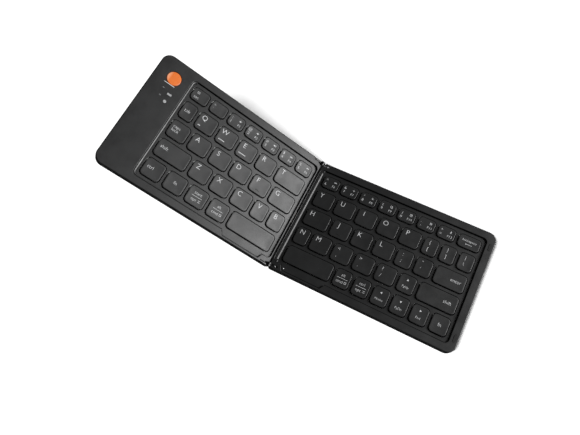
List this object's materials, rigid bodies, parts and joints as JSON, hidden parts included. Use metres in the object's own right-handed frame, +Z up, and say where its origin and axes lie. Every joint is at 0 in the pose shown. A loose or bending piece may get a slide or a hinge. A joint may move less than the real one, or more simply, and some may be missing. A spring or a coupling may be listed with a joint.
{
  "type": "folding keyboard",
  "caption": "Pocket keyboard in two equal halves that fold shut face to face on one hinge, with sprung low-profile keys and a round power button.",
  "frame": {"origin": "middle of the whole keyboard's footprint, at the level of the feet of the flat half", "axes": "+X from the raised left half to the flat right half, +Y from the space keys to the number row, +Z up"},
  "size_m": [0.2754, 0.0972, 0.0785],
  "materials": {
    "cover_plastic": "fine-textured satin black",
    "cap_plastic": "satin black with a soft touch coat",
    "plate_steel": "cold-rolled sheet",
    "membrane_film": "clear polyester film with silicone domes",
    "foot_rubber": "matte",
    "hinge_metal": "black zinc casting, rubbed bright at its edges",
    "pin_steel": "bright",
    "circuit_board": "solder mask",
    "cell_foil": "laminated foil",
    "socket_metal": "drawn shell",
    "lamp_window": "milky light guide",
    "ribbon_film": "black polyimide ribbon",
    "button_orange": "glossy"
  },
  "bodies": {
    "right_half": {"right_top_cover": "cover_plastic", "right_bottom_cover": "cover_plastic", "right_key_plate": "plate_steel", "right_membrane": "membrane_film", "right_feet": "foot_rubber", "rim_bumpers": "foot_rubber", "right_hinge_leaves": "hinge_metal", "hinge_pins": "pin_steel", "hinge_screws": "pin_steel"},
    "left_half": {"left_top_cover": "cover_plastic", "left_bottom_cover": "cover_plastic", "left_key_plate": "plate_steel", "left_membrane": "membrane_film", "left_feet": "foot_rubber", "left_hinge_arms": "hinge_metal", "main_board": "circuit_board", "battery_cell": "cell_foil", "charging_socket": "socket_metal", "status_windows": "lamp_window", "closing_magnets": "plate_steel", "flex_cable": "ribbon_film"},
    "power_button": {"power_button": "button_orange"},
    "left_space_key": {"left_space_key": "cap_plastic"},
    "left_shift_key": {"left_shift_key": "cap_plastic"},
    "tab_caps_keys": {"tab_caps_keys": "cap_plastic"},
    "left_number_keys": {"left_number_keys": "cap_plastic"},
    "left_modifier_keys": {"left_modifier_keys": "cap_plastic"},
    "right_space_key": {"right_space_key": "cap_plastic"},
    "enter_key": {"enter_key": "cap_plastic"},
    "backspace_key": {"backspace_key": "cap_plastic"},
    "right_shift_key": {"right_shift_key": "cap_plastic"},
    "right_number_keys": {"right_number_keys": "cap_plastic"},
    "punctuation_keys": {"punctuation_keys": "cap_plastic"},
    "right_bottom_keys": {"right_bottom_keys": "cap_plastic"},
    "key_q": {"key_q": "cap_plastic"},
    "key_w": {"key_w": "cap_plastic"},
    "key_e": {"key_e": "cap_plastic"},
    "key_r": {"key_r": "cap_plastic"},
    "key_t": {"key_t": "cap_plastic"},
    "key_a": {"key_a": "cap_plastic"},
    "key_s": {"key_s": "cap_plastic"},
    "key_d": {"key_d": "cap_plastic"},
    "key_f": {"key_f": "cap_plastic"},
    "key_g": {"key_g": "cap_plastic"},
    "key_z": {"key_z": "cap_plastic"},
    "key_x": {"key_x": "cap_plastic"},
    "key_c": {"key_c": "cap_plastic"},
    "key_v": {"key_v": "cap_plastic"},
    "key_b": {"key_b": "cap_plastic"},
    "key_y": {"key_y": "cap_plastic"},
    "key_u": {"key_u": "cap_plastic"},
    "key_i": {"key_i": "cap_plastic"},
    "key_o": {"key_o": "cap_plastic"},
    "key_p": {"key_p": "cap_plastic"},
    "key_h": {"key_h": "cap_plastic"},
    "key_j": {"key_j": "cap_plastic"},
    "key_k": {"key_k": "cap_plastic"},
    "key_l": {"key_l": "cap_plastic"},
    "key_n": {"key_n": "cap_plastic"},
    "key_m": {"key_m": "cap_plastic"}
  },
  "joints": [
    {"name": "fold", "type": "hinge", "parent": "right_half", "child": "left_half", "pos_m": [-0.0073, 0, 0.0084], "axis": [0, 1, 0], "range_deg": [-29, 151], "deforming": ["flex_cable"]},
    {"name": "power_push", "type": "slide", "parent": "left_half", "child": "power_button", "axis": [-0.4848, 0, -0.8746], "range_m": [0, 0.0004], "stiffness_N_per_m": 1000, "springref_m": -0.001},
    {"name": "left_space_press", "type": "slide", "parent": "left_half", "child": "left_space_key", "axis": [-0.4848, 0, -0.8746], "range_m": [0, 0.0015], "stiffness_N_per_m": 200, "springref_m": -0.0015, "deforming": ["left_membrane"]},
    {"name": "left_shift_press", "type": "slide", "parent": "left_half", "child": "left_shift_key", "axis": [-0.4848, 0, -0.8746], "range_m": [0, 0.0015], "stiffness_N_per_m": 200, "springref_m": -0.0015},
    {"name": "tab_caps_press", "type": "slide", "parent": "left_half", "child": "tab_caps_keys", "axis": [-0.4848, 0, -0.8746], "range_m": [0, 0.0015], "stiffness_N_per_m": 400, "springref_m": -0.0015},
    {"name": "left_number_press", "type": "slide", "parent": "left_half", "child": "left_number_keys", "axis": [-0.4848, 0, -0.8746], "range_m": [0, 0.0015], "stiffness_N_per_m": 1400, "springref_m": -0.0015},
    {"name": "left_modifier_press", "type": "slide", "parent": "left_half", "child": "left_modifier_keys", "axis": [-0.4848, 0, -0.8746], "range_m": [0, 0.0015], "stiffness_N_per_m": 800, "springref_m": -0.0015},
    {"name": "right_space_press", "type": "slide", "parent": "right_half", "child": "right_space_key", "axis": [0, 0, -1], "range_m": [0, 0.0015], "stiffness_N_per_m": 200, "springref_m": -0.0015, "deforming": ["right_membrane"]},
    {"name": "enter_press", "type": "slide", "parent": "right_half", "child": "enter_key", "axis": [0, 0, -1], "range_m": [0, 0.0015], "stiffness_N_per_m": 200, "springref_m": -0.0015},
    {"name": "backspace_press", "type": "slide", "parent": "right_half", "child": "backspace_key", "axis": [0, 0, -1], "range_m": [0, 0.0015], "stiffness_N_per_m": 200, "springref_m": -0.0015},
    {"name": "right_shift_press", "type": "slide", "parent": "right_half", "child": "right_shift_key", "axis": [0, 0, -1], "range_m": [0, 0.0015], "stiffness_N_per_m": 200, "springref_m": -0.0015},
    {"name": "right_number_press", "type": "slide", "parent": "right_half", "child": "right_number_keys", "axis": [0, 0, -1], "range_m": [0, 0.0015], "stiffness_N_per_m": 1400, "springref_m": -0.0015},
    {"name": "punctuation_press", "type": "slide", "parent": "right_half", "child": "punctuation_keys", "axis": [0, 0, -1], "range_m": [0, 0.0015], "stiffness_N_per_m": 1600, "springref_m": -0.0015},
    {"name": "right_bottom_press", "type": "slide", "parent": "right_half", "child": "right_bottom_keys", "axis": [0, 0, -1], "range_m": [0, 0.0015], "stiffness_N_per_m": 1400, "springref_m": -0.0015},
    {"name": "q_press", "type": "slide", "parent": "left_half", "child": "key_q", "axis": [-0.4848, 0, -0.8746], "range_m": [0, 0.0015], "stiffness_N_per_m": 200, "springref_m": -0.0015},
    {"name": "w_press", "type": "slide", "parent": "left_half", "child": "key_w", "axis": [-0.4848, 0, -0.8746], "range_m": [0, 0.0015], "stiffness_N_per_m": 200, "springref_m": -0.0015},
    {"name": "e_press", "type": "slide", "parent": "left_half", "child": "key_e", "axis": [-0.4848, 0, -0.8746], "range_m": [0, 0.0015], "stiffness_N_per_m": 200, "springref_m": -0.0015},
    {"name": "r_press", "type": "slide", "parent": "left_half", "child": "key_r", "axis": [-0.4848, 0, -0.8746], "range_m": [0, 0.0015], "stiffness_N_per_m": 200, "springref_m": -0.0015},
    {"name": "t_press", "type": "slide", "parent": "left_half", "child": "key_t", "axis": [-0.4848, 0, -0.8746], "range_m": [0, 0.0015], "stiffness_N_per_m": 200, "springref_m": -0.0015},
    {"name": "a_press", "type": "slide", "parent": "left_half", "child": "key_a", "axis": [-0.4848, 0, -0.8746], "range_m": [0, 0.0015], "stiffness_N_per_m": 200, "springref_m": -0.0015},
    {"name": "s_press", "type": "slide", "parent": "left_half", "child": "key_s", "axis": [-0.4848, 0, -0.8746], "range_m": [0, 0.0015], "stiffness_N_per_m": 200, "springref_m": -0.0015},
    {"name": "d_press", "type": "slide", "parent": "left_half", "child": "key_d", "axis": [-0.4848, 0, -0.8746], "range_m": [0, 0.0015], "stiffness_N_per_m": 200, "springref_m": -0.0015},
    {"name": "f_press", "type": "slide", "parent": "left_half", "child": "key_f", "axis": [-0.4848, 0, -0.8746], "range_m": [0, 0.0015], "stiffness_N_per_m": 200, "springref_m": -0.0015},
    {"name": "g_press", "type": "slide", "parent": "left_half", "child": "key_g", "axis": [-0.4848, 0, -0.8746], "range_m": [0, 0.0015], "stiffness_N_per_m": 200, "springref_m": -0.0015},
    {"name": "z_press", "type": "slide", "parent": "left_half", "child": "key_z", "axis": [-0.4848, 0, -0.8746], "range_m": [0, 0.0015], "stiffness_N_per_m": 200, "springref_m": -0.0015},
    {"name": "x_press", "type": "slide", "parent": "left_half", "child": "key_x", "axis": [-0.4848, 0, -0.8746], "range_m": [0, 0.0015], "stiffness_N_per_m": 200, "springref_m": -0.0015},
    {"name": "c_press", "type": "slide", "parent": "left_half", "child": "key_c", "axis": [-0.4848, 0, -0.8746], "range_m": [0, 0.0015], "stiffness_N_per_m": 200, "springref_m": -0.0015},
    {"name": "v_press", "type": "slide", "parent": "left_half", "child": "key_v", "axis": [-0.4848, 0, -0.8746], "range_m": [0, 0.0015], "stiffness_N_per_m": 200, "springref_m": -0.0015},
    {"name": "b_press", "type": "slide", "parent": "left_half", "child": "key_b", "axis": [-0.4848, 0, -0.8746], "range_m": [0, 0.0015], "stiffness_N_per_m": 200, "springref_m": -0.0015},
    {"name": "y_press", "type": "slide", "parent": "right_half", "child": "key_y", "axis": [0, 0, -1], "range_m": [0, 0.0015], "stiffness_N_per_m": 200, "springref_m": -0.0015},
    {"name": "u_press", "type": "slide", "parent": "right_half", "child": "key_u", "axis": [0, 0, -1], "range_m": [0, 0.0015], "stiffness_N_per_m": 200, "springref_m": -0.0015},
    {"name": "i_press", "type": "slide", "parent": "right_half", "child": "key_i", "axis": [0, 0, -1], "range_m": [0, 0.0015], "stiffness_N_per_m": 200, "springref_m": -0.0015},
    {"name": "o_press", "type": "slide", "parent": "right_half", "child": "key_o", "axis": [0, 0, -1], "range_m": [0, 0.0015], "stiffness_N_per_m": 200, "springref_m": -0.0015},
    {"name": "p_press", "type": "slide", "parent": "right_half", "child": "key_p", "axis": [0, 0, -1], "range_m": [0, 0.0015], "stiffness_N_per_m": 200, "springref_m": -0.0015},
    {"name": "h_press", "type": "slide", "parent": "right_half", "child": "key_h", "axis": [0, 0, -1], "range_m": [0, 0.0015], "stiffness_N_per_m": 200, "springref_m": -0.0015},
    {"name": "j_press", "type": "slide", "parent": "right_half", "child": "key_j", "axis": [0, 0, -1], "range_m": [0, 0.0015], "stiffness_N_per_m": 200, "springref_m": -0.0015},
    {"name": "k_press", "type": "slide", "parent": "right_half", "child": "key_k", "axis": [0, 0, -1], "range_m": [0, 0.0015], "stiffness_N_per_m": 200, "springref_m": -0.0015},
    {"name": "l_press", "type": "slide", "parent": "right_half", "child": "key_l", "axis": [0, 0, -1], "range_m": [0, 0.0015], "stiffness_N_per_m": 200, "springref_m": -0.0015},
    {"name": "n_press", "type": "slide", "parent": "right_half", "child": "key_n", "axis": [0, 0, -1], "range_m": [0, 0.0015], "stiffness_N_per_m": 200, "springref_m": -0.0015},
    {"name": "m_press", "type": "slide", "parent": "right_half", "child": "key_m", "axis": [0, 0, -1], "range_m": [0, 0.0015], "stiffness_N_per_m": 200, "springref_m": -0.0015}
  ]
}
